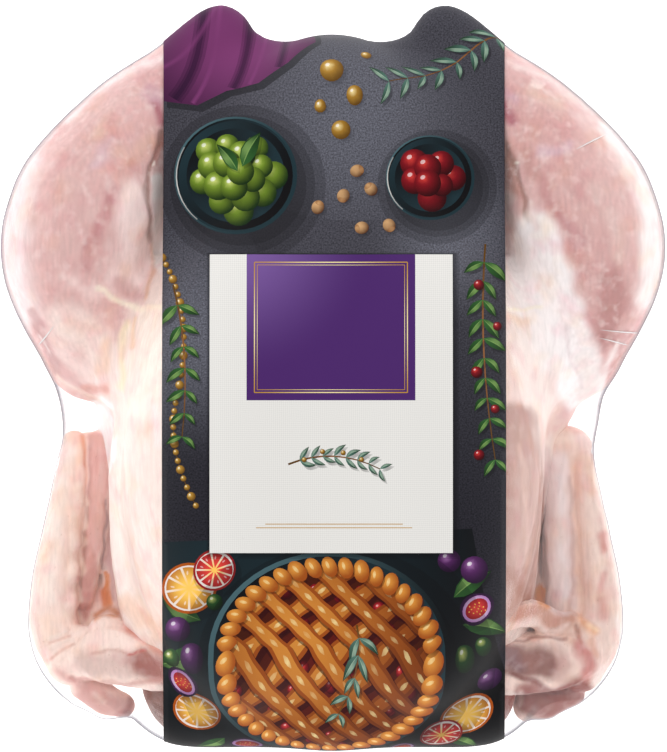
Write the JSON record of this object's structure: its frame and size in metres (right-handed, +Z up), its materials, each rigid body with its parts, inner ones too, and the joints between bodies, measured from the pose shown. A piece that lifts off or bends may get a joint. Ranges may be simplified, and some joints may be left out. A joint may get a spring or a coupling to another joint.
{
  "type": "whole raw turkey in a clear shrink bag",
  "caption": "Whole raw turkey lying on its back, shrunk into a clear film bag, with a printed band across its breast and over both ends.",
  "frame": {"origin": "middle of the pack's footprint, on the surface that it lies on", "axes": "+X across the bird, +Y towards its drumstick ends, +Z up out of its breast"},
  "size_m": [0.2922, 0.3302, 0.1603],
  "materials": {
    "poultry_in_film": "raw skin under clear glossy film",
    "printed_film": "satin printed film"
  },
  "bodies": {
    "root": {"bagged_turkey": "poultry_in_film", "printed_band": "printed_film"}
  },
  "joints": []
}
